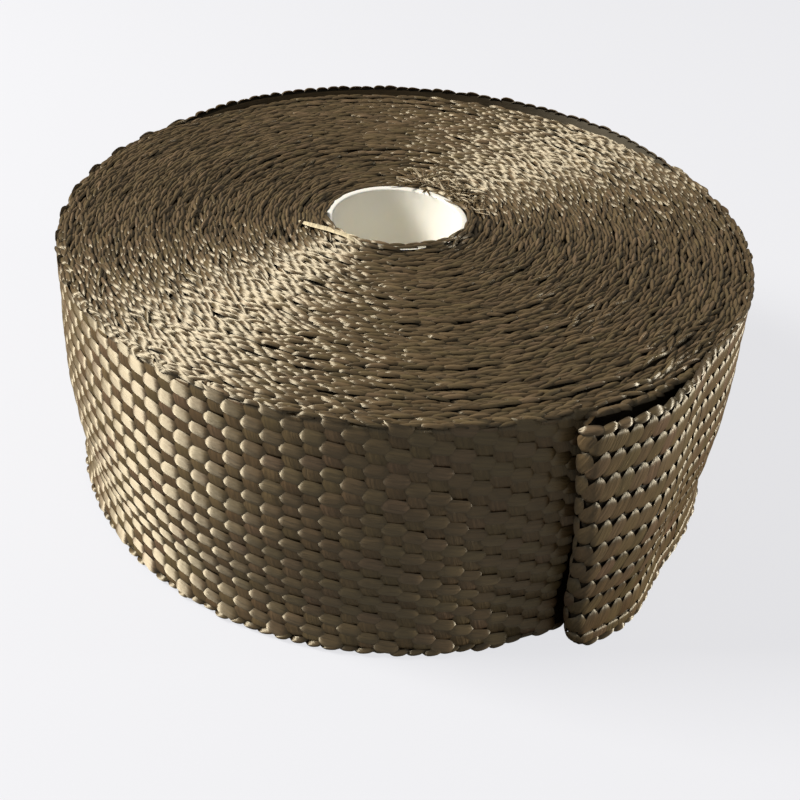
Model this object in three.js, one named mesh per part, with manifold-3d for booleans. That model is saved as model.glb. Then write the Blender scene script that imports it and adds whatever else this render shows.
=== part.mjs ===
import * as THREE from 'three';
import * as BufferGeometryUtils from 'three/addons/utils/BufferGeometryUtils.js';
import Module from 'manifold-3d';

// Exhaust heat wrap: a woven fibre tape wound flat on a plastic tube, its outer end folded under.
// Lengths are in millimetres and angles in degrees. The roll stands on one end: the axis of its
// outermost turn is +Z, and the origin is at the middle of that end.

// Tube that the tape is wound on
const TUBE_BORE = 24.4;
const TUBE_WALL = 1.5;
const TUBE_RIM_CHAMFER = 0.3;

// The turns lie looser on one side, so the tube is off the middle of the roll
const TUBE_OFFSET_X = - 1.8;
const TUBE_OFFSET_Y = - 1;

// Tape and winding
const TAPE_WIDTH = 50;
const TURN_THICKNESS = 1.28;
const TURN_COUNT = 40;
const WINDING_CLEARANCE = 0.3;
const TURN_GROOVE_DEPTH = 0.6;
const RESTING_LAND_WIDTH = 0.7;
const BASE_FLARE = 1.7;

// Outer end of the tape, folded under to make a hem that stands off the roll
const HEM_ROOT_ANGLE = -37;
const HEM_FOLD_ANGLE = -64;
const HEM_LIFT = 4.2;
const HEM_RISE_SHARE = 0.7;
const HEM_FOLD_LEAN = 4.5;
const HEM_SEAT_DEPTH = 0.6;
const HEM_LAYER_THICKNESS = 1.28;

// Fineness of the round faces
const TUBE_SIDES = 48;
const ROLL_SIDES = 32;
const HEM_STEPS = 12;
const FOLD_STEPS = 6;
const VERTEX_MERGE_DISTANCE = 1e-4;

const tubeInnerRadius = TUBE_BORE / 2;
const tubeOuterRadius = tubeInnerRadius + TUBE_WALL;
const tubeLength = TAPE_WIDTH;
const rollInnerRadius = tubeOuterRadius + WINDING_CLEARANCE;
const rollTopRadius = rollInnerRadius + TURN_COUNT * TURN_THICKNESS;
const rollBaseRadius = rollTopRadius + BASE_FLARE;

const wasm = await Module();
wasm.setup();

function toSolid( geometry ) {

	const bare = geometry.clone();
	bare.deleteAttribute( 'normal' );
	bare.deleteAttribute( 'uv' );
	const merged = BufferGeometryUtils.mergeVertices( bare, VERTEX_MERGE_DISTANCE );
	return new wasm.Manifold( new wasm.Mesh( {
		numProp: 3,
		vertProperties: Float32Array.from( merged.attributes.position.array ),
		triVerts: Uint32Array.from( merged.index.array )
	} ) );

}

function toGeometry( solid ) {

	const mesh = solid.getMesh();
	const geometry = new THREE.BufferGeometry();
	geometry.setAttribute( 'position', new THREE.BufferAttribute( mesh.vertProperties, mesh.numProp ) );
	geometry.setIndex( new THREE.BufferAttribute( mesh.triVerts, 1 ) );
	geometry.computeVertexNormals();
	return geometry;

}

// A profile of (radius, height) points that closes on itself, turned about Z
function turned( profile, sides ) {

	const closed = [ ...profile, profile[ 0 ].clone() ];
	return new THREE.LatheGeometry( closed, sides ).rotateX( Math.PI / 2 );

}

function tubeGeometry() {

	const bevel = TUBE_RIM_CHAMFER;
	const profile = [
		new THREE.Vector2( tubeInnerRadius + bevel, 0 ),
		new THREE.Vector2( tubeOuterRadius - bevel, 0 ),
		new THREE.Vector2( tubeOuterRadius, bevel ),
		new THREE.Vector2( tubeOuterRadius, tubeLength - bevel ),
		new THREE.Vector2( tubeOuterRadius - bevel, tubeLength ),
		new THREE.Vector2( tubeInnerRadius + bevel, tubeLength ),
		new THREE.Vector2( tubeInnerRadius, tubeLength - bevel ),
		new THREE.Vector2( tubeInnerRadius, bevel )
	];
	return turned( profile, TUBE_SIDES );

}

// Edges of the turns on one end, from the bore outwards: a crest at the middle of each turn and
// a groove where two turns meet. The outermost turn has a narrow flat land that the roll rests on.
function turnEdges( outerRadius, endHeight, inward ) {

	const pitch = ( outerRadius - rollInnerRadius ) / TURN_COUNT;
	const grooveHeight = endHeight + inward * TURN_GROOVE_DEPTH;
	const points = [ new THREE.Vector2( rollInnerRadius, grooveHeight ) ];
	for ( let turn = 0; turn < TURN_COUNT - 1; turn ++ ) {

		const start = rollInnerRadius + turn * pitch;
		points.push( new THREE.Vector2( start + pitch / 2, endHeight ) );
		points.push( new THREE.Vector2( start + pitch, grooveHeight ) );

	}

	const lastMiddle = outerRadius - pitch / 2;
	points.push( new THREE.Vector2( lastMiddle - RESTING_LAND_WIDTH / 2, endHeight ) );
	points.push( new THREE.Vector2( lastMiddle + RESTING_LAND_WIDTH / 2, endHeight ) );
	points.push( new THREE.Vector2( outerRadius, grooveHeight ) );
	return points;

}

function rollGeometry() {

	const base = turnEdges( rollBaseRadius, 0, 1 );
	const top = turnEdges( rollTopRadius, TAPE_WIDTH, - 1 );
	return offCentre( turned( [ ...base, ...top.reverse() ], ROLL_SIDES ) );

}

// Moves each turn off the middle, the innermost one as far as the tube and the outermost not at all
function offCentre( geometry ) {

	const position = geometry.attributes.position;
	for ( let index = 0; index < position.count; index ++ ) {

		const radius = Math.hypot( position.getX( index ), position.getY( index ) );
		const share = 1 - THREE.MathUtils.mapLinear( radius, rollInnerRadius, rollTopRadius, 0, 1 );
		const near = THREE.MathUtils.clamp( share, 0, 1 );
		position.setX( index, position.getX( index ) + near * TUBE_OFFSET_X );
		position.setY( index, position.getY( index ) + near * TUBE_OFFSET_Y );

	}

	return geometry;

}

function polar( radius, angle ) {

	const turn = THREE.MathUtils.degToRad( angle );
	return new THREE.Vector2( radius * Math.cos( turn ), radius * Math.sin( turn ) );

}

// Radius of the hem's outer face, where share runs from 0 at its root to 1 at the fold
function hemOuterRadius( share ) {

	return rollTopRadius + HEM_LIFT * THREE.MathUtils.smoothstep( share, 0, HEM_RISE_SHARE );

}

// Points at one radius rule along the hem, over a stretch of it
function hemCurve( radiusAt, fromShare, toShare ) {

	const points = [];
	for ( let step = 0; step <= HEM_STEPS; step ++ ) {

		const share = THREE.MathUtils.lerp( fromShare, toShare, step / HEM_STEPS );
		const angle = THREE.MathUtils.lerp( HEM_ROOT_ANGLE, HEM_FOLD_ANGLE, share );
		points.push( polar( radiusAt( share ), angle ) );

	}

	return points;

}

// Half circle round the fold from its outer face to its inner face, both ends left out
function foldCurve( radius ) {

	const centre = polar( rollTopRadius + HEM_LIFT / 2, HEM_FOLD_ANGLE );
	const points = [];
	for ( let step = 1; step < FOLD_STEPS; step ++ ) {

		const around = HEM_FOLD_ANGLE - 180 * step / FOLD_STEPS;
		points.push( centre.clone().add( polar( radius, around ) ) );

	}

	return points;

}

// Share of the hem at which its two layers part
function hemPartingShare() {

	const layers = 2 * HEM_LAYER_THICKNESS;
	const risen = THREE.MathUtils.clamp( layers / HEM_LIFT, 0, 1 );
	const middle = 0.5 - Math.sin( Math.asin( 1 - 2 * risen ) / 3 );
	return HEM_RISE_SHARE * middle;

}

// Seen from above: the hem's two layers with the open fold between them
function hemShape() {

	const outerFace = hemCurve( hemOuterRadius, 0, 1 );
	const seat = hemCurve( () => rollTopRadius - HEM_SEAT_DEPTH, 1, 0 );
	const outline = [ ...outerFace, ...foldCurve( HEM_LIFT / 2 ), ...seat ];
	const shape = new THREE.Shape( outline.reverse() );

	const parting = hemPartingShare();
	const outerLayer = hemCurve( ( share ) => hemOuterRadius( share ) - HEM_LAYER_THICKNESS, parting, 1 );
	const innerLayer = hemCurve( () => rollTopRadius + HEM_LAYER_THICKNESS, 1, parting );
	const bend = foldCurve( HEM_LIFT / 2 - HEM_LAYER_THICKNESS );
	innerLayer.pop();
	shape.holes.push( new THREE.Path( [ ...outerLayer, ...bend, ...innerLayer ] ) );
	return shape;

}

// The hem follows the roll's flare towards the base, and its fold leans round the roll on the way up
function hemGeometry() {

	const geometry = new THREE.ExtrudeGeometry( hemShape(), { depth: TAPE_WIDTH, bevelEnabled: false } );
	const position = geometry.attributes.position;
	const point = new THREE.Vector3();
	const up = new THREE.Vector3( 0, 0, 1 );
	for ( let index = 0; index < position.count; index ++ ) {

		point.fromBufferAttribute( position, index );
		const below = 1 - point.z / TAPE_WIDTH;
		const spread = 1 + BASE_FLARE / rollTopRadius * below;
		point.applyAxisAngle( up, THREE.MathUtils.degToRad( HEM_FOLD_LEAN * below ) );
		position.setXYZ( index, point.x * spread, point.y * spread, point.z );

	}

	return geometry;

}

function piece( name, geometry, color, roughness ) {

	const material = new THREE.MeshStandardMaterial( { color, roughness, metalness: 0 } );
	const mesh = new THREE.Mesh( geometry, material );
	mesh.name = name;
	return mesh;

}

function coreTube() {

	const tube = piece( 'core_tube', tubeGeometry(), 0xe9e3d6, 0.45 );
	tube.position.set( TUBE_OFFSET_X, TUBE_OFFSET_Y, 0 );
	return tube;

}

function tapeRoll() {

	const solid = toSolid( rollGeometry() ).add( toSolid( hemGeometry() ) );
	return piece( 'tape_roll', toGeometry( solid ), 0x6b5d47, 0.7 );

}

const heatWrap = new THREE.Group();
heatWrap.add( coreTube() );
heatWrap.add( tapeRoll() );

export default heatWrap;
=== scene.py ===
import math

import bpy
import numpy as np
from mathutils import Matrix, Vector


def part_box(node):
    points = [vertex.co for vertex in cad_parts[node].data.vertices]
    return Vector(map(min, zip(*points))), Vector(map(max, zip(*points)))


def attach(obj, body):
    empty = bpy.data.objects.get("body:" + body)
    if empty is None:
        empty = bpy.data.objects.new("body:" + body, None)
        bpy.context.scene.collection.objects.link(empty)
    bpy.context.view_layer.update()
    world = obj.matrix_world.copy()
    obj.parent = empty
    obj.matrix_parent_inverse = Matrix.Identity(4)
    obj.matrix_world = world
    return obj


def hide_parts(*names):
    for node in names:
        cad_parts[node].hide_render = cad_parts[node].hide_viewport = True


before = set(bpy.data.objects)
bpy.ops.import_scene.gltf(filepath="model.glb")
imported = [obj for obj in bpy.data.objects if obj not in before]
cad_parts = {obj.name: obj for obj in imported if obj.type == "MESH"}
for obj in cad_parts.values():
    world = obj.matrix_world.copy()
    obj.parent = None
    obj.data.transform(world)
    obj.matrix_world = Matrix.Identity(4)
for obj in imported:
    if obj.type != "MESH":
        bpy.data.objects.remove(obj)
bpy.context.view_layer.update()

# Shapes are worked out in millimetres and turned into metres when a mesh is made. The studio's
# lights and floor are in metres.
METRES = 0.001
FULL_TURN = 2 * math.pi
random = np.random.default_rng(20)

# Sizes taken from the frame
tape_low, tape_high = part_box("tape_roll")
tube_low, tube_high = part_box("core_tube")
TAPE_WIDTH = tape_high.z / METRES
BASE_RADIUS = tape_high.y / METRES
TUBE_RADIUS = (tube_high.x - tube_low.x) / 2 / METRES
TUBE_TOP = tube_high.z / METRES
TUBE_CENTRE = ((tube_high.x + tube_low.x) / 2 / METRES, (tube_high.y + tube_low.y) / 2 / METRES)

TUBE_WALL = 1.5
TUBE_RIM_EASE = 0.35

# Winding: the tape runs outwards clockwise, seen from above, and ends at the root of the hem
BASE_FLARE = 1.7
TOP_RADIUS = BASE_RADIUS - BASE_FLARE
TURN_COUNT = 40
WINDING_CLEARANCE = 0.3
INNER_RADIUS = TUBE_RADIUS + WINDING_CLEARANCE
TURN_THICKNESS = (TOP_RADIUS - INNER_RADIUS) / TURN_COUNT

# Hem: the outer end of the tape, folded under
HEM_ROOT = math.radians(-37)
FOLD_ANGLE_BASE = math.radians(-59.5)
FOLD_ANGLE_TOP = math.radians(-64.5)
HEM_LIFT = 4.2
HEM_RISE_SHARE = 0.7
HEM_FOLD_RADIUS = 2.1
HEM_INNER_END = math.radians(-42)
HEM_INNER_EDGE_END = math.radians(-40)

# Faces of the hem's cloth, in millimetres: its outer layer below the yarns, its inner layer off the roll
HEM_OUTER_LAYER = (-0.45, -1.25)
HEM_INNER_LAYER = (0.3, 1.2)

# The side's yarns end inside the fold, and the hem's yarns go this far round the fold, in radians
SIDE_END = HEM_ROOT + FULL_TURN - 0.42
HEM_YARN_BEND = 2.6

# Twill: each weft floats over two warps and dives under the third
WEFT_SPACING = 3.19
WARP_SPACING = 1.55
TWILL_STEPS = 3
SELVEDGE_HEIGHT = 1.7

# Towards the hem the wefts are pressed closer and the cloth is skewed, so that its rows run level.
# The floats' shapes change over the easing, in millimetres.
HEM_WEFT_SPACING = 2.6
SKEW_START = math.radians(-8)
SKEW_EASING = 20

# Shapes of the floats, in millimetres above the cloth: on the hem the wefts taper to points and
# the warps lie deep between them. shade is painted shade added to a float's colour: the hem's warps are
# painted fully shaded.
SIDE_WEFT = dict(crest=0.3, sink=0.6, fullness=0.26, roundness=3.0, lean=0.24, taper=0.1, shade=0.0)
HEM_WEFT = dict(crest=0.32, sink=0.3, fullness=0.12, roundness=4.0, lean=-0.34, taper=0.94, shade=0.0)
SIDE_WARP = dict(crest=0.46, sink=0.45, fullness=0.34, roundness=5.0, lean=-0.12, taper=0.3, shade=0.0)
HEM_WARP = dict(crest=-0.3, sink=0.5, fullness=0.2, roundness=5.0, lean=-0.12, taper=0.4, shade=1.0)

# Half a weft float's length, in warp spacings, and half its width, in weft spacings
SIDE_REACH, HEM_REACH = 1.28, 1.68
SIDE_SPREAD, HEM_SPREAD = 0.52, 0.57

# Half a warp float's length, in weft spacings, and half its width, in millimetres
WARP_REACH = 0.83
WARP_HALF_WIDTH = 1.3

# Share of the change to the hem's weave from which the warps are a piece of their own
SUNKEN_WARPS_FROM = 0.6

# The shortest weft float that is made at the tape's edges, in warp spacings
SHORTEST_WEFT = 0.8

# Twisted cords along the tape's edges: the step from grain to grain, and the grains' points
GRAIN_PITCH = 2.9
SIDE_GRAIN_STEPS = (8, 6)
UPPER_GRAIN_STEPS = (7, 5)
LOWER_GRAIN_STEPS = (5, 4)

# In front the innermost turns stand up over the tube's rim. The rise fades outwards over a few
# millimetres, and its middle is turned a little to the right of the front, in radians.
INNER_TURN_RISE = 1.4
INNER_RISE_FADE = 1.6
INNER_RISE_FACING = 0.2

# At the back the outermost turn has slipped up over its neighbour
PROUD_TURN_RISE = 1.7
PROUD_TURN_FROM = math.radians(20)
PROUD_TURN_TO = math.radians(150)

# How far the side stands out from the top edge's radius, by height
SIDE_HEIGHTS = (0.0, 3.5, 9.0, 17.0, 25.0, 34.0, 42.0, 50.0)
SIDE_SWELLS = (1.5, 0.6, 0.1, 0.8, 1.15, 0.8, 0.1, -0.3)


def smooth(share):
    """Eases a share at both ends, and keeps it between 0 and 1."""
    share = np.clip(share, 0, 1)
    return share * share * (3 - 2 * share)


def side_swell(z):
    """How far the side stands out at a height, eased from each named height to the next."""
    z = np.clip(z, 0, TAPE_WIDTH)
    swell = np.zeros_like(z, dtype=float)
    for low in range(len(SIDE_HEIGHTS) - 1):
        z0, z1 = SIDE_HEIGHTS[low], SIDE_HEIGHTS[low + 1]
        inside = (z >= z0) & (z <= z1)
        eased = smooth((z - z0) / (z1 - z0))
        swell = np.where(inside, SIDE_SWELLS[low] + eased * (SIDE_SWELLS[low + 1] - SIDE_SWELLS[low]), swell)
    return swell


def fold_angle(z):
    """The hem's fold leans: its angle changes evenly with height."""
    return FOLD_ANGLE_BASE + (FOLD_ANGLE_TOP - FOLD_ANGLE_BASE) * z / TAPE_WIDTH


def outer_radius(phi, z):
    """Radius of the outermost layer: one spiral turn past the hem's root, and the hem's lift before it."""
    turned = np.maximum(phi - HEM_ROOT, 0) / FULL_TURN
    share = (HEM_ROOT - phi) / (HEM_ROOT - fold_angle(z))
    lift = HEM_LIFT * smooth(share / HEM_RISE_SHARE)
    return TOP_RADIUS + side_swell(z) - TURN_THICKNESS * turned + lift


def side_point(phi, z, height):
    """A point height above the outer layer. Past the fold the layer turns in on a half circle."""
    fold = fold_angle(z)
    held = np.maximum(phi, fold)
    nudge = 0.01
    slope = (outer_radius(held + nudge, z) - outer_radius(held - nudge, z)) / (2 * nudge)
    radius = outer_radius(held, z)
    slope = np.where(phi < fold, 0, slope) / radius
    length = np.sqrt(1 + slope ** 2)
    past = np.maximum(fold - phi, 0) * (TOP_RADIUS + HEM_LIFT)
    bend = np.minimum(past / HEM_FOLD_RADIUS, math.pi)
    out_x, out_y = np.cos(held), np.sin(held)
    along_x, along_y = -np.sin(held), np.cos(held)
    normal_out = np.where(phi < fold, np.cos(bend), 1 / length)
    normal_along = np.where(phi < fold, -np.sin(bend), -slope / length)
    centre = np.where(phi < fold, radius - HEM_FOLD_RADIUS, radius)
    reach = np.where(phi < fold, HEM_FOLD_RADIUS + height, height)
    x = out_x * centre + reach * (normal_out * out_x + normal_along * along_x)
    y = out_y * centre + reach * (normal_out * out_y + normal_along * along_y)
    return np.stack([x, y, z + 0 * x], -1)


def spiral_place(turns):
    """Angle and radius of the tape's middle line after so many turns from the tube."""
    phi = HEM_ROOT + (TURN_COUNT - turns) * FULL_TURN
    return phi, INNER_RADIUS + turns * TURN_THICKNESS - TURN_THICKNESS / 2


def turn_centre(radius):
    """The turns are drawn towards the tube, which stands a little off the middle of the roll."""
    near = np.clip((TOP_RADIUS - radius) / (TOP_RADIUS - INNER_RADIUS), 0, 1)
    return near * TUBE_CENTRE[0], near * TUBE_CENTRE[1]


def directions_at(phi):
    """Directions at each angle: out from the axis, along the turn, and up."""
    flat = 0 * phi
    outward = np.stack([np.cos(phi), np.sin(phi), flat], -1)
    forward = np.stack([-np.sin(phi), np.cos(phi), flat], -1)
    return outward, forward, np.stack([flat, flat, 1 + flat], -1)


def wander(place, scale, seed):
    """A slow, repeatable wobble along a line, mostly between -1 and 1."""
    dice = np.random.default_rng(seed)
    total = np.zeros_like(place, dtype=float)
    for octave in range(4):
        wave = 2 ** octave
        total += np.sin(place * wave * dice.uniform(0.7, 1.3) / scale + dice.uniform(0, 6.28)) / (octave + 1)
    return total / 1.6


def mesh_object(name, points, faces, strand=None, tone=None, painted_shade_depth=None):
    """One mesh from points in millimetres and faces of four corners. strand is the place across and
    along the yarn, tone the yarn's place between its colours, and depth how deep the point lies, 0 to 1;
    the materials darken the colour with it, as painted shade."""
    points = points.reshape(-1, 3) * METRES
    faces = faces.reshape(-1, 4)
    mesh = bpy.data.meshes.new(name)
    mesh.vertices.add(len(points))
    mesh.vertices.foreach_set("co", points.astype(np.float32).ravel())
    mesh.loops.add(faces.size)
    mesh.loops.foreach_set("vertex_index", faces.astype(np.int32).ravel())
    mesh.polygons.add(len(faces))
    mesh.polygons.foreach_set("loop_start", np.arange(0, faces.size, 4, dtype=np.int32))
    mesh.update(calc_edges=True)
    mesh.polygons.foreach_set("use_smooth", np.ones(len(faces), bool))
    if strand is not None:
        layer = mesh.uv_layers.new(name="strand")
        layer.data.foreach_set("uv", strand.reshape(-1, 2)[faces.ravel()].astype(np.float32).ravel())
    for label, values in (("tone", tone), ("painted_shade_depth", painted_shade_depth)):
        if values is not None:
            attribute = mesh.attributes.new(label, "FLOAT", "POINT")
            attribute.data.foreach_set("value", values.astype(np.float32).ravel())
    mesh.validate()
    piece = bpy.data.objects.new(name, mesh)
    bpy.context.scene.collection.objects.link(piece)
    return piece


def grid_faces(patches, rows, columns, closed_columns=False):
    """Faces of many equal grids of points, each rows by columns."""
    row = np.arange(rows - 1)[:, None]
    column = np.arange(columns if closed_columns else columns - 1)[None, :]
    following = (column + 1) % columns
    a = row * columns + column
    b = row * columns + following
    c = (row + 1) * columns + following
    d = (row + 1) * columns + column
    one = np.stack([a, b, c, d], -1).reshape(-1, 4)
    return (one[None] + (np.arange(patches) * rows * columns)[:, None, None]).reshape(-1, 4)


def ring_faces(rows, columns):
    """Faces of one grid that closes on itself both ways."""
    column = np.arange(columns)
    following = (column + 1) % columns
    last = (rows - 1) * columns
    closing = np.stack([last + column, last + following, following, column], -1)
    return np.concatenate([grid_faces(1, rows, columns, closed_columns=True), closing])


def strand_place(across, along, tone):
    """Place on the fibre pattern, shifted by tone so that neighbouring yarns differ."""
    return np.stack([across + tone * 40, along + tone * 90], -1)


# Grid of one float, the stretch of a yarn that shows between two crossings
ACROSS = np.linspace(-1, 1, 7)
ALONG = np.linspace(-1, 1, 11)


def float_relief(crest, sink, fullness, roundness):
    """The grid of a float and its height: it rises from under one crossing yarn and dives under the next."""
    along, across = np.meshgrid(ALONG, ACROSS, indexing="ij")
    line = -sink + (crest + sink) * (1 - np.abs(along) ** roundness)
    drop = fullness * (1 - np.sqrt(1 - 0.96 * across ** 2))
    return along, across, line - drop


def weave_floats(name, phi, z, half_along, half_across, upright, shape):
    """Many floats on the side. upright floats are wefts, which run up the tape, and the others are warps.
    shape gives each float's crest, sink and so on."""
    count = len(phi)
    crest, sink, fullness, roundness, lean, taper, shade = (
        np.broadcast_to(shape[key], count)[:, None, None]
        for key in ("crest", "sink", "fullness", "roundness", "lean", "taper", "shade"))
    along, across, relief = float_relief(crest, sink, fullness, roundness)
    stretch = random.uniform(0.94, 1.06, (count, 1, 1))
    swell = random.uniform(0.92, 1.08, (count, 1, 1))
    lift = random.normal(0, 0.035, (count, 1, 1))
    skew = random.normal(0, 0.03, (count, 1, 1)) + lean
    half_across = np.broadcast_to(half_across, count)[:, None, None]
    width = half_across * swell * (1 - taper * np.abs(along[None]) ** 2.6)
    run = along[None] * half_along[:, None, None] * stretch
    side = across[None] * width
    if upright:
        place_z = z[:, None, None] + run
        place_s = side - run * skew
    else:
        place_z = z[:, None, None] + side + run * skew
        place_s = run
    place_phi = phi[:, None, None] + place_s / TOP_RADIUS
    height = relief + lift
    points = side_point(place_phi, place_z, height)
    tone = np.broadcast_to(random.uniform(0, 1, (count, 1, 1)), run.shape)
    strand = strand_place(side, run, tone)
    # Painted shade: the colour is darkened on the float's low parts, and more by the shape's shade
    painted_shade_depth = np.clip((crest - height) / (crest + sink) + shade, 0, 1)
    return mesh_object(name, points, grid_faces(count, len(ALONG), len(ACROSS)), strand, tone, painted_shade_depth)


def crossings(columns, spacing):
    """Angle of each weft and height of each warp, the warps' lean, and the twill step of each crossing."""
    rows = int((TAPE_WIDTH - 2 * SELVEDGE_HEIGHT) / WARP_SPACING)
    first = (TAPE_WIDTH - (rows - 1) * WARP_SPACING) / 2
    # Each column past the start of the skew shifts the rows by one warp
    spare = TWILL_STEPS * (2 + max(-columns.min(), 0) // TWILL_STEPS)
    column, row = np.meshgrid(columns, np.arange(-spare, rows + spare), indexing="ij")
    column, row = column.ravel(), row.ravel()
    phi = SKEW_START + (column + 0.5) * spacing / TOP_RADIUS
    past = np.maximum(SKEW_START - phi, 0) * TOP_RADIUS
    slope = WARP_SPACING / spacing
    z = first + row * WARP_SPACING - past * slope
    lean = slope * smooth(past / spacing)
    return phi, z, lean, (column + row) % TWILL_STEPS


def blend(side, hem, share):
    """Float shapes part of the way from the side's to the hem's."""
    return {key: side[key] + (hem[key] - side[key]) * share for key in side}


def weave(prefix, columns, spacing):
    """The wefts and warps that show on some columns of the outermost turn. Warps that lie deep on
    the hem come as a piece of their own."""
    phi, z, lean, step = crossings(columns, spacing)
    top, bottom = TAPE_WIDTH - SELVEDGE_HEIGHT * 0.4, SELVEDGE_HEIGHT
    over = step == 0
    phi, z, lean = phi[over], z[over], lean[over]
    warp = (z < top) & (z > bottom)
    weft_z = z - WARP_SPACING * TWILL_STEPS / 2
    share = smooth((SKEW_START - phi) * TOP_RADIUS / SKEW_EASING)
    half = WARP_SPACING * (SIDE_REACH + (HEM_REACH - SIDE_REACH) * share)
    spread = SIDE_SPREAD + (HEM_SPREAD - SIDE_SPREAD) * share
    low = np.maximum(weft_z - half, bottom * 0.8)
    high = np.minimum(weft_z + half, top)
    weft = high - low > WARP_SPACING * SHORTEST_WEFT
    pieces = [weave_floats(
        prefix + "_wefts", phi[weft], ((low + high) / 2)[weft], ((high - low) / 2)[weft],
        spacing * spread[weft], True, blend(SIDE_WEFT, HEM_WEFT, share[weft]))]
    sunken = share >= SUNKEN_WARPS_FROM
    for label, chosen in (("_warps", warp & ~sunken), ("_sunken_warps", warp & sunken)):
        if chosen.any():
            shape = blend(SIDE_WARP, HEM_WARP, share[chosen])
            shape["lean"] = shape["lean"] + lean[chosen]
            half_along = np.full(chosen.sum(), spacing * WARP_REACH)
            pieces.append(weave_floats(
                prefix + label, phi[chosen], z[chosen], half_along, WARP_HALF_WIDTH, False, shape))
    return pieces


def rope(name, base, forward, outward, upward, length, width, thick, slant, unruly, steps):
    """Grains of a twisted edge cord, each a slim dome lying along the cord. The directions have one
    row for each grain, unruly is how much the grains' tilts differ, and steps is their fineness."""
    along, across = np.meshgrid(np.linspace(-1, 1, steps[0]), np.linspace(-1, 1, steps[1]), indexing="ij")
    ends = np.abs(along) ** 3
    section = across * (1 - 0.75 * ends)
    count = len(base)
    size = random.uniform(0.85, 1.15, (count, 1, 1))
    tilt = random.normal(slant, unruly, (count, 1, 1))
    run = along[None] * length * 0.5 * random.uniform(0.9, 1.15, (count, 1, 1))
    side = section[None] * width * 0.5 * size + run * tilt
    rise = thick * (np.sqrt(1 - 0.97 * across ** 2) - 0.35) * (1 - 0.2 * ends) - 0.75 * thick * ends
    rise = rise[None] * size + random.normal(0, 0.1, (count, 1, 1))
    points = (base[:, None, None] + run[..., None] * forward[:, None, None]
              + side[..., None] * outward[:, None, None] + rise[..., None] * upward[:, None, None])
    tone = np.broadcast_to(random.uniform(0, 1, (count, 1, 1)), run.shape)
    strand = strand_place(side, run, tone)
    # Painted shade: the grains darken towards their flanks and ends
    painted_shade_depth = np.clip((thick - rise) / (1.8 * thick), 0, 1)
    return mesh_object(name, points, grid_faces(count, *steps), strand, tone, painted_shade_depth)


def inner_rise(phi, radius):
    """How far the innermost turns stand up in front of the tube, less and less with each turn."""
    in_front = smooth(0.6 - 1.4 * np.sin(phi - INNER_RISE_FACING))
    return INNER_TURN_RISE * in_front * np.exp((INNER_RADIUS - radius) / INNER_RISE_FADE)


def proud_rise(phi):
    """How far the outermost turn stands up at an angle, eased at both ends of its slipped stretch."""
    middle = (PROUD_TURN_FROM + PROUD_TURN_TO) / 2
    reach = (PROUD_TURN_TO - PROUD_TURN_FROM) / 2
    away = np.abs((phi - middle + math.pi) % FULL_TURN - math.pi)
    return PROUD_TURN_RISE * smooth(2.5 * (1 - away / reach))


def spiral_grains(name, from_turn, to_turn, z, upward, length, width, thick, abreast, steps):
    """Grains of the cord along the tape's edge, on the turns between two counts, one or two abreast.
    upward is 1 for the upper edge and -1 for the lower one."""
    beside_step = 0.3
    sunk = 0.25
    turns = []
    turn = from_turn
    while turn < to_turn:
        turns.append(turn)
        radius = spiral_place(turn)[1]
        turn += GRAIN_PITCH / (FULL_TURN * radius)
    turns = np.array(turns)
    beside = np.zeros(len(turns))
    if abreast == 2:
        half_step = GRAIN_PITCH / 2 / (FULL_TURN * spiral_place(turns)[1])
        beside = np.concatenate([beside - beside_step, beside + beside_step])
        turns = np.concatenate([turns, turns + half_step])
    phi, radius = spiral_place(turns)
    # With the angle it has run, the cord wobbles slowly sideways, and slowly and quickly up and down
    place = turns * 6.28
    shift = 0.16 * wander(place, 1.1, 3) + beside * random.uniform(0.7, 1.3, len(turns))
    rise = 0.22 * wander(place, 2.3, 5) + 0.16 * wander(place, 0.35, 8)
    centre_x, centre_y = turn_centre(radius)
    if upward > 0:
        radius = np.maximum(radius, TUBE_RADIUS + 0.1)
        outermost = turns > TURN_COUNT - 1
        rise = rise + proud_rise(phi) * outermost + inner_rise(phi, radius)
        rise = rise + random.normal(0, 0.1, len(turns))
        # Where the outermost turn stands up, its selvedge covers it and these grains are sunk
        rise = np.where(outermost & (proud_rise(phi) > 0.3), -1.0, rise)
    else:
        radius = radius * BASE_RADIUS / TOP_RADIUS
    radius = radius + shift
    base = np.stack([centre_x + radius * np.cos(phi), centre_y + radius * np.sin(phi),
                     z + upward * (rise - sunk)], -1)
    outward, forward, up = directions_at(phi)
    return rope(name, base, forward, outward, upward * up, length, width, thick,
                slant=0.04, unruly=0.07 * abreast, steps=steps)


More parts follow.
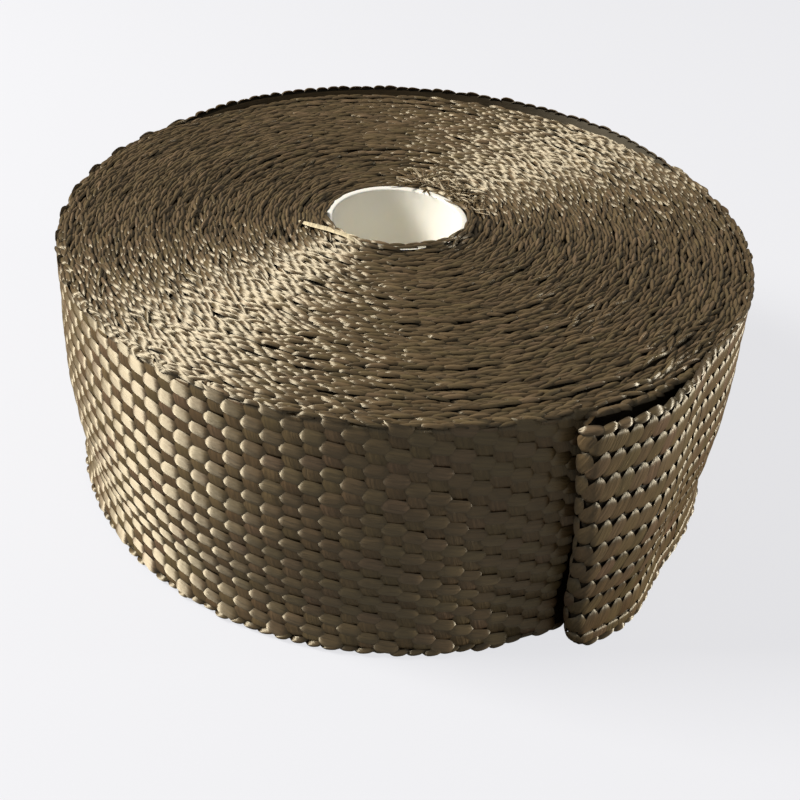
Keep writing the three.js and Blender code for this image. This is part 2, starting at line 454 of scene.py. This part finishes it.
def roll_body():
    """The ground under the yarns, painted fully shaded so that it reads dark: a closed solid whose ends
    carry the spiral's grooves.
    """
    sides = 160
    rings = 3 * TURN_COUNT
    groove = 0.45
    sunk = 0.55
    rim = 1.2
    clearance = 0.1
    phi = HEM_ROOT + np.linspace(0, FULL_TURN, sides, endpoint=False)
    wall = np.linspace(rim, TAPE_WIDTH - rim, 16)
    shares = np.linspace(0, 1, rings)

    def end_ring(height, inward, share):
        outside = outer_radius(phi, height + 0 * phi) - sunk
        r = INNER_RADIUS + clearance + share * (outside - INNER_RADIUS - clearance)
        turns = (r - INNER_RADIUS) / TURN_THICKNESS + (phi - HEM_ROOT) / FULL_TURN
        z = height + inward * (sunk + groove * 0.5 * (1 + np.cos(FULL_TURN * turns)))
        if inward < 0:
            # Raised a little more than the inner turns' cords, so that no gap shows under them
            z = z + (outside - r < TURN_THICKNESS) * proud_rise(phi) + 1.35 * inner_rise(phi, r)
        centre_x, centre_y = turn_centre(r)
        return np.stack([centre_x + r * np.cos(phi), centre_y + r * np.sin(phi), z], -1)

    rows = [end_ring(0, 1, share) for share in shares]
    rows += [side_point(phi, z + 0 * phi, -sunk + 0 * phi) for z in wall]
    rows += [end_ring(TAPE_WIDTH, -1, share) for share in shares[::-1]]
    points = np.stack(rows)
    strand = np.stack([points[..., 2], np.broadcast_to(phi * TOP_RADIUS, points.shape[:2])], -1)
    tone = np.full(points.shape[:2], 0.5)
    # Painted shade: the whole ground is given the darkest colour
    painted_shade_depth = np.ones(points.shape[:2])
    return mesh_object("roll_body", points, ring_faces(len(rows), sides), strand, tone, painted_shade_depth)


def radius_behind_hem(z):
    """Radius of the roll where the hem's inner layer lies against it."""
    return TOP_RADIUS + side_swell(z) - TURN_THICKNESS * 0.9


def hem_cloth():
    """The closed sheet under the hem's yarns: outer layer, round fold and inner layer."""
    layers = 12
    rim = 0.9
    past_root = 0.06
    z = np.linspace(rim, TAPE_WIDTH - rim, layers)[:, None]
    past_fold = HEM_FOLD_RADIUS * math.pi / (TOP_RADIUS + HEM_LIFT)
    share = np.linspace(0, 1, 30)[None, :]
    phi = (HEM_ROOT + past_root) + share * (fold_angle(z) - past_fold - HEM_ROOT - past_root)
    outside, inside = [side_point(phi, z + 0 * phi, np.full(phi.shape, face)) for face in HEM_OUTER_LAYER]
    back = np.linspace(0, 1, 16)[None, :]
    inner_phi = fold_angle(z) + back * (HEM_INNER_END - fold_angle(z))
    lower, upper = [
        np.stack([radius * np.cos(inner_phi), radius * np.sin(inner_phi), z + 0 * inner_phi], -1)
        for radius in (radius_behind_hem(z) + face for face in HEM_INNER_LAYER)]
    ring = np.concatenate([outside, lower[:, 1:], upper[:, :0:-1], inside[:, ::-1]], 1)
    columns = ring.shape[1]
    faces = grid_faces(1, layers, columns, closed_columns=True)
    half = columns // 2
    pairs = []
    # Both open ends of the sheet are closed across its thickness
    for level, flip in ((0, False), (layers - 1, True)):
        for step in range(half - 1):
            a, b = step, step + 1
            c, d = columns - 2 - step, columns - 1 - step
            corners = [level * columns + n for n in (a, b, c, d)]
            pairs.append(corners[::-1] if flip else corners)
    strand = np.stack([ring[..., 2], ring[..., 0] * 2], -1)
    tone = np.full(ring.shape[:2], 0.5)
    # Painted shade: the hem's sheet is given a mostly shaded colour
    painted_shade_depth = np.full(ring.shape[:2], 0.7)
    return mesh_object("hem_cloth", ring, np.concatenate([faces, np.array(pairs)]), strand, tone, painted_shade_depth)


def side_rope(name, from_phi, to_phi, z, tip, slant, inset):
    """The twisted cord along one edge of the outermost turn and the hem. It faces out, and up by tip."""
    nudge, reach = 0.01, 0.9
    phi = np.arange(from_phi, to_phi, GRAIN_PITCH / TOP_RADIUS)
    level = np.full(len(phi), z)
    if tip > 0:
        level = level + proud_rise(phi)
    base = side_point(phi, level, np.full(len(phi), -inset))
    ahead = side_point(phi + nudge, level, np.full(len(phi), -inset))
    out = side_point(phi, level, np.full(len(phi), reach - inset)) - base
    forward = ahead - base
    forward /= np.linalg.norm(forward, axis=1)[:, None]
    face = out / reach + tip * np.array([0, 0, 1.0])
    face /= np.linalg.norm(face, axis=1)[:, None]
    side = np.cross(face, forward)
    base = base + 0.12 * random.normal(0, 1, (len(phi), 1)) * face
    return rope(name, base, forward, side, face, length=3.5, width=1.5, thick=0.75,
                slant=slant, unruly=0.1, steps=SIDE_GRAIN_STEPS)


def inner_layer_edge():
    """The cord along the top of the hem's inner layer, from the fold to the layer's cut end."""
    phi = np.arange(FOLD_ANGLE_TOP + 0.03, HEM_INNER_EDGE_END, GRAIN_PITCH / 2 / TOP_RADIUS)
    sunk = 0.9
    radius = radius_behind_hem(TAPE_WIDTH + 0 * phi) + sum(HEM_INNER_LAYER) / 2
    radius = radius + random.normal(0, 0.15, len(phi))
    level = TAPE_WIDTH - sunk + random.normal(0, 0.2, len(phi))
    base = np.stack([radius * np.cos(phi), radius * np.sin(phi), level], -1)
    outward, forward, up = directions_at(phi)
    return rope("inner_layer_edge", base, forward, outward, up, length=3.4, width=1.3, thick=0.8,
                slant=0.1, unruly=0.14, steps=SIDE_GRAIN_STEPS)


def strands(name, starts, directions, lengths, widths, bends):
    """Loose tapered strands, each a bent tube that thins to its tip."""
    count, rings, sides = len(starts), 8, 6
    flatness = 0.45
    share = np.linspace(0, 1, rings)[None, :, None]
    around = np.linspace(0, FULL_TURN, sides, endpoint=False)
    path = starts[:, None] + directions[:, None] * share * lengths[:, None, None]
    path = path + bends[:, None] * share ** 2
    flat = np.cross(directions, np.array([0, 0, 1.0]))
    flat /= np.linalg.norm(flat, axis=1)[:, None]
    rise = np.cross(flat, directions)
    thin = (1.0 - 0.75 * share ** 2)[..., None] * widths[:, None, None, None]
    ring = (np.cos(around)[None, None, :, None] * flat[:, None, None]
            + flatness * np.sin(around)[None, None, :, None] * rise[:, None, None])
    points = path[:, :, None] + ring * thin
    tone = np.broadcast_to(random.uniform(0, 1, (count, 1, 1)), points.shape[:3])
    across = np.broadcast_to(around[None, None] * widths[:, None, None], points.shape[:3])
    run = np.broadcast_to(share * lengths[:, None, None], points.shape[:3])
    strand = strand_place(across, run, tone)
    painted_shade_depth = np.zeros(points.shape[:3])
    faces = grid_faces(count, rings, sides, closed_columns=True)
    caps = []
    for patch in range(count):
        first = patch * rings * sides
        last = first + (rings - 1) * sides
        caps += [[first + 3, first + 2, first + 1, first], [first + 5, first + 4, first + 3, first]]
        caps += [[last, last + 1, last + 2, last + 3], [last, last + 3, last + 4, last + 5]]
    return mesh_object(name, points, np.concatenate([faces, np.array(caps)]), strand, tone, painted_shade_depth)


def frayed_start():
    """Loose yarn ends of the tape's first turn, sticking up behind the tube on the right."""
    count = 170
    angle = np.radians(random.uniform(18, 82, count))
    radius = INNER_RADIUS + np.abs(random.normal(0, 1, count)) * 2.4 + 0.3
    starts = np.stack([TUBE_CENTRE[0] + radius * np.cos(angle), TUBE_CENTRE[1] + radius * np.sin(angle),
                       TAPE_WIDTH + random.uniform(-0.6, 0.5, count)], -1)
    heading = angle + math.pi / 2 * random.choice([-1, 1], count) + random.normal(0, 0.7, count)
    climb = random.uniform(0.0, 0.55, count)
    directions = np.stack([np.cos(heading), np.sin(heading), climb], -1)
    directions /= np.linalg.norm(directions, axis=1)[:, None]
    bends = random.normal(0, 0.8, (count, 3))
    bends[:, 2] = -np.abs(bends[:, 2])
    return strands("frayed_start", starts, directions, random.uniform(2.0, 5.5, count),
                   random.uniform(0.16, 0.42, count), bends)


def start_strip():
    """The thin pale strip that holds the tape's start, lying on the innermost turns on the left."""
    stops = np.array([(-20.2, -4.9, -0.1), (-17.2, -7.3, 0.5), (-13.7, -9.9, 1.2),
                      (-10.6, -12.3, 1.5), (-7.7, -14.4, 0.8)])
    half_widths = np.array([0.45, 0.7, 0.75, 0.6, 0.35])[:, None, None]
    half_thickness = 0.14
    around = np.linspace(0, FULL_TURN, 8, endpoint=False)[None, :, None]
    path = stops + np.array([0, 0, TAPE_WIDTH])
    beside = np.array([0.62, 0.78, 0.1])
    above = np.array([0.0, -0.13, 0.99])
    ring = half_widths * np.cos(around) * beside + half_thickness * np.sin(around) * above
    points = path[:, None] + ring
    rings, sides = points.shape[:2]
    last = (rings - 1) * sides
    caps = [[3, 2, 1, 0], [5, 4, 3, 0], [7, 6, 5, 0]]
    caps += [[last, last + 1, last + 2, last + 3], [last, last + 3, last + 4, last + 5]]
    caps += [[last, last + 5, last + 6, last + 7]]
    strand = np.stack([points[..., 0], points[..., 1] * 2], -1)
    level = np.full(points.shape[:2], 0.9)
    faces = np.concatenate([grid_faces(1, rings, sides, closed_columns=True), np.array(caps)])
    return mesh_object("start_strip", points, faces, strand, level, 0 * level)


def turned_tube():
    """The moulded tube, smooth all round, with eased rims."""
    sides = 160
    inner = TUBE_RADIUS - TUBE_WALL
    ease = TUBE_RIM_EASE
    sweep = np.radians(np.linspace(-45, 45, 5))
    corners = []
    for radius, z, towards in ((TUBE_RADIUS, 0, (-1, 1)), (TUBE_RADIUS, TUBE_TOP, (-1, -1)),
                               (inner, TUBE_TOP, (1, -1)), (inner, 0, (1, 1))):
        centre = np.array([radius + towards[0] * ease, z + towards[1] * ease])
        start = math.atan2(-towards[1], -towards[0])
        corners.append(centre + ease * np.stack([np.cos(start + sweep), np.sin(start + sweep)], -1))
    profile = np.concatenate(corners)
    phi = np.linspace(0, FULL_TURN, sides, endpoint=False)
    points = np.stack([TUBE_CENTRE[0] + profile[:, None, 0] * np.cos(phi),
                       TUBE_CENTRE[1] + profile[:, None, 0] * np.sin(phi),
                       profile[:, None, 1] + 0 * phi], -1)
    return mesh_object("tube", points, ring_faces(len(profile), sides))


def node(tree, kind, **sockets):
    """A new shader node with some of its sockets set."""
    made = tree.nodes.new(kind)
    for label, value in sockets.items():
        made.inputs[label.replace("_", " ")].default_value = value
    return made


def fibre_material(name, tones, roughness, specular):
    """Glassy mineral yarn, silky along the fibre: each float has one of the tones, with painted shade that
    darkens it where it lies deep.
    """
    material = bpy.data.materials.new(name)
    material.use_nodes = True
    tree = material.node_tree
    shader = tree.nodes["Principled BSDF"]
    link = tree.links.new

    uv = tree.nodes.new("ShaderNodeUVMap")
    uv.uv_map = "strand"
    stretch = tree.nodes.new("ShaderNodeVectorMath")
    stretch.operation = "MULTIPLY"
    stretch.inputs[1].default_value = (2.6, 0.22, 1.0)
    link(uv.outputs["UV"], stretch.inputs[0])
    fibres = node(tree, "ShaderNodeTexNoise", Scale=1.0, Detail=3.0, Roughness=0.6)
    link(stretch.outputs["Vector"], fibres.inputs["Vector"])

    tone = tree.nodes.new("ShaderNodeAttribute")
    tone.attribute_name = "tone"
    ramp = tree.nodes.new("ShaderNodeValToRGB")
    ramp.color_ramp.elements[0].color = (*tones[0], 1)
    ramp.color_ramp.elements[1].color = (*tones[-1], 1)
    for place, colour in enumerate(tones[1:-1], 1):
        ramp.color_ramp.elements.new(place / (len(tones) - 1)).color = (*colour, 1)
    link(tone.outputs["Fac"], ramp.inputs["Fac"])

    painted_shade_depth = tree.nodes.new("ShaderNodeAttribute")
    painted_shade_depth.attribute_name = "painted_shade_depth"
    # Painted shade: the colour darkens as the point lies deeper, in float ends, gaps and the ground, and is
    # a little lighter on the crests
    shade = node(tree, "ShaderNodeMapRange", From_Min=0.08, From_Max=0.85, To_Min=1.1, To_Max=0.1)
    link(painted_shade_depth.outputs["Fac"], shade.inputs["Value"])
    streak = node(tree, "ShaderNodeMapRange", From_Min=0.25, From_Max=0.75, To_Min=0.55, To_Max=1.45)
    link(fibres.outputs["Fac"], streak.inputs["Value"])
    both = tree.nodes.new("ShaderNodeMath")
    both.operation = "MULTIPLY"
    link(shade.outputs["Result"], both.inputs[0])
    link(streak.outputs["Result"], both.inputs[1])
    scaled = tree.nodes.new("ShaderNodeVectorMath")
    scaled.operation = "SCALE"
    link(ramp.outputs["Color"], scaled.inputs[0])
    link(both.outputs["Value"], scaled.inputs["Scale"])
    link(scaled.outputs["Vector"], shader.inputs["Base Color"])

    rough = node(tree, "ShaderNodeMapRange", To_Min=roughness - 0.08, To_Max=roughness + 0.12)
    link(fibres.outputs["Fac"], rough.inputs["Value"])
    link(rough.outputs["Result"], shader.inputs["Roughness"])

    bump = node(tree, "ShaderNodeBump", Strength=0.8, Distance=0.0002)
    link(fibres.outputs["Fac"], bump.inputs["Height"])
    link(bump.outputs["Normal"], shader.inputs["Normal"])
    tangent = tree.nodes.new("ShaderNodeTangent")
    tangent.direction_type = "UV_MAP"
    tangent.uv_map = "strand"
    link(tangent.outputs["Tangent"], shader.inputs["Tangent"])
    shader.inputs["Anisotropic"].default_value = 1.0
    shader.inputs["IOR"].default_value = 2.1
    shader.inputs["Specular IOR Level"].default_value = specular
    shader.inputs["Specular Tint"].default_value = (1.0, 0.88, 0.64, 1)
    return material


def plastic_material():
    """Off-white moulded plastic with faint unevenness."""
    material = bpy.data.materials.new("tube_plastic")
    material.use_nodes = True
    tree = material.node_tree
    shader = tree.nodes["Principled BSDF"]
    link = tree.links.new
    place = tree.nodes.new("ShaderNodeTexCoord")
    cloud = node(tree, "ShaderNodeTexNoise", Scale=90.0, Detail=4.0)
    link(place.outputs["Object"], cloud.inputs["Vector"])
    ramp = tree.nodes.new("ShaderNodeValToRGB")
    ramp.color_ramp.elements[0].color = (0.9, 0.86, 0.74, 1)
    ramp.color_ramp.elements[1].color = (0.92, 0.9, 0.83, 1)
    link(cloud.outputs["Fac"], ramp.inputs["Fac"])
    link(ramp.outputs["Color"], shader.inputs["Base Color"])
    rough = node(tree, "ShaderNodeMapRange", To_Min=0.32, To_Max=0.5)
    link(cloud.outputs["Fac"], rough.inputs["Value"])
    link(rough.outputs["Result"], shader.inputs["Roughness"])
    bump = node(tree, "ShaderNodeBump", Strength=0.15, Distance=0.0001)
    link(cloud.outputs["Fac"], bump.inputs["Height"])
    link(bump.outputs["Normal"], shader.inputs["Normal"])
    shader.inputs["Subsurface Weight"].default_value = 0.15
    shader.inputs["Subsurface Radius"].default_value = (0.004, 0.003, 0.002)
    return material


def dress(piece, material, stands_for):
    """Gives a piece its material, hangs it under the root body and hides the CAD node it stands for."""
    piece.data.materials.append(material)
    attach(piece, "root")
    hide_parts(stands_for)


def make_camera():
    """The photograph's view: the lens, the distance and the aim were fitted to the roll's outline."""
    lens_pixels, image_width, sensor = 988.85, 800, 36.0
    distance, elevation = 206.0, math.radians(33.168)
    roll, pan, tilt = math.radians(3.574), math.radians(0.026), math.radians(-4.378)
    aim = np.array([0, 0, TAPE_WIDTH / 2])
    forward = np.array([0, math.cos(elevation), -math.sin(elevation)])
    level_up = np.array([0, math.sin(elevation), math.cos(elevation)])
    level_right = np.array([1.0, 0, 0])
    right = math.cos(roll) * level_right + math.sin(roll) * level_up
    up = -math.sin(roll) * level_right + math.cos(roll) * level_up
    eye = aim - forward * distance
    right, forward = (math.cos(pan) * right - math.sin(pan) * forward,
                      math.sin(pan) * right + math.cos(pan) * forward)
    up, forward = (math.cos(tilt) * up - math.sin(tilt) * forward,
                   math.sin(tilt) * up + math.cos(tilt) * forward)
    data = bpy.data.cameras.new("camera")
    data.lens = lens_pixels / image_width * sensor
    data.sensor_width = sensor
    data.clip_start = 0.01
    camera = bpy.data.objects.new("camera", data)
    axes = np.eye(4)
    axes[:3, 0], axes[:3, 1], axes[:3, 2], axes[:3, 3] = right, up, -forward, eye * METRES
    camera.matrix_world = Matrix(axes.tolist())
    bpy.context.scene.collection.objects.link(camera)
    bpy.context.scene.camera = camera


def area_light(name, place, size, power, colour):
    """A square light that faces the roll, its place in metres and its power in watts."""
    data = bpy.data.lights.new(name, "AREA")
    data.size = size
    data.energy = power
    data.color = colour
    light = bpy.data.objects.new(name, data)
    light.location = place
    light.rotation_euler = (-Vector(place)).to_track_quat("-Z", "Y").to_euler()
    bpy.context.scene.collection.objects.link(light)


# The floor's own colour, its glow that only the camera sees, and the strength of the light all round
FLOOR_COLOUR = (0.13, 0.13, 0.132, 1)
FLOOR_GLOW_COLOUR = (0.97, 0.97, 1.0, 1)
FLOOR_GLOW = 0.75
WORLD_LIGHT = 0.21


def make_studio():
    """A pale floor, soft light all round, a key light from the left and a low one from the right."""
    size = 3.0
    corners = np.array([[-size, -size, 0], [size, -size, 0], [size, size, 0], [-size, size, 0]]) / METRES
    floor = mesh_object("floor", corners, np.array([[0, 1, 2, 3]]))
    material = bpy.data.materials.new("pale_floor")
    material.use_nodes = True
    shader = material.node_tree.nodes["Principled BSDF"]
    shader.inputs["Base Color"].default_value = FLOOR_COLOUR
    shader.inputs["Roughness"].default_value = 0.8
    shader.inputs["Specular IOR Level"].default_value = 0.1
    shader.inputs["Emission Color"].default_value = FLOOR_GLOW_COLOUR
    # The background is lit apart from the object: it looks bright and throws little light back
    path = material.node_tree.nodes.new("ShaderNodeLightPath")
    seen = material.node_tree.nodes.new("ShaderNodeMath")
    seen.operation = "MULTIPLY"
    seen.inputs[1].default_value = FLOOR_GLOW
    material.node_tree.links.new(path.outputs["Is Camera Ray"], seen.inputs[0])
    material.node_tree.links.new(seen.outputs["Value"], shader.inputs["Emission Strength"])
    floor.data.materials.append(material)
    world = bpy.data.worlds.new("studio")
    world.use_nodes = True
    world.node_tree.nodes["Background"].inputs["Color"].default_value = (1, 1, 1, 1)
    world.node_tree.nodes["Background"].inputs["Strength"].default_value = WORLD_LIGHT
    bpy.context.scene.world = world
    area_light("key", place=(-0.68, 0.0, 0.6), size=0.3, power=12.0, colour=(1.0, 0.98, 0.95))
    area_light("fill", place=(0.8, 0.0, 0.035), size=0.07, power=6.5, colour=(1.0, 1.0, 1.0))


make_camera()
make_studio()

brown_yarn = fibre_material(
    "woven_yarn", ((0.11, 0.064, 0.029), (0.14, 0.09, 0.04), (0.125, 0.086, 0.036), (0.155, 0.09, 0.049)),
    roughness=0.62, specular=1.0)
edge_yarn = fibre_material(
    "edge_yarn", ((0.095, 0.06, 0.027), (0.14, 0.093, 0.046), (0.115, 0.081, 0.036), (0.165, 0.107, 0.058)),
    roughness=0.52, specular=0.72)
# A dull copy of the yarn with little sheen, worn where shade falls: painted shade
shaded_yarn = fibre_material(
    "shaded_yarn", ((0.12, 0.07, 0.032), (0.15, 0.096, 0.043), (0.14, 0.09, 0.04), (0.16, 0.1, 0.05)),
    roughness=0.8, specular=0.2)
pale_strip = fibre_material(
    "pale_strip", ((0.5, 0.4, 0.24), (0.56, 0.45, 0.28), (0.6, 0.5, 0.32), (0.62, 0.52, 0.33)),
    roughness=0.6, specular=0.4)
white_plastic = plastic_material()

# Columns of wefts, counted both ways from the start of the skew
side_columns = np.arange(0, int((SIDE_END - SKEW_START) * TOP_RADIUS / WEFT_SPACING))
hem_end = FOLD_ANGLE_TOP - HEM_FOLD_RADIUS * HEM_YARN_BEND / (TOP_RADIUS + HEM_LIFT)
hem_columns = np.arange(int((hem_end - SKEW_START) * TOP_RADIUS / HEM_WEFT_SPACING), 0)
cloth = weave("side", side_columns, WEFT_SPACING)
cloth += weave("hem", hem_columns, HEM_WEFT_SPACING)
sunken_warps = cloth.pop()
for piece in cloth:
    dress(piece, brown_yarn, "tape_roll")
# The sunken warps, the ground and the hem's sheet wear the dull shaded copy of the yarn, as painted shade
for piece in (sunken_warps, roll_body(), hem_cloth()):
    dress(piece, shaded_yarn, "tape_roll")

# The upper selvedge is dressed in the dull shaded yarn where the outermost turn stands up, painted shade for
# its edge in shadow, and is silky before and after
shaded_from, shaded_to = PROUD_TURN_FROM + 0.15, PROUD_TURN_TO - 0.15
upper_selvedge = dict(z=TAPE_WIDTH - 0.6, tip=0.6, slant=0.1, inset=0.5)
lower_selvedge = dict(z=1.05, tip=-0.15, slant=0.2, inset=0.32)
upper_grains = dict(
    z=TAPE_WIDTH, upward=1, length=4.1, width=0.85, thick=0.5, abreast=2, steps=UPPER_GRAIN_STEPS)
lower_grains = dict(z=0.35, upward=-1, length=3.9, width=1.2, thick=0.5, abreast=1, steps=LOWER_GRAIN_STEPS)
dress(side_rope("upper_selvedge_raised", shaded_from, shaded_to, **upper_selvedge),
      shaded_yarn, "tape_roll")

# The upper edge comes in two pieces, so that each stays under 200,000 triangles
PARTING_TURN = 28.0
cords = [
    spiral_grains("upper_edge_inner_turns", -0.1, PARTING_TURN, **upper_grains),
    spiral_grains("upper_edge_outer_turns", PARTING_TURN, float(TURN_COUNT), **upper_grains),
    spiral_grains("lower_edge_turns", 0.15, float(TURN_COUNT) - 1, **lower_grains),
    side_rope("lower_selvedge", FOLD_ANGLE_BASE + 0.02, SIDE_END, **lower_selvedge),
    side_rope("upper_selvedge_front", FOLD_ANGLE_TOP - 0.02, shaded_from, **upper_selvedge),
    side_rope("upper_selvedge_left", shaded_to, SIDE_END, **upper_selvedge),
    inner_layer_edge(),
    frayed_start(),
]
for piece in cords:
    dress(piece, edge_yarn, "tape_roll")

dress(start_strip(), pale_strip, "tape_roll")
dress(turned_tube(), white_plastic, "core_tube")

bpy.context.scene.view_settings.view_transform = "Standard"
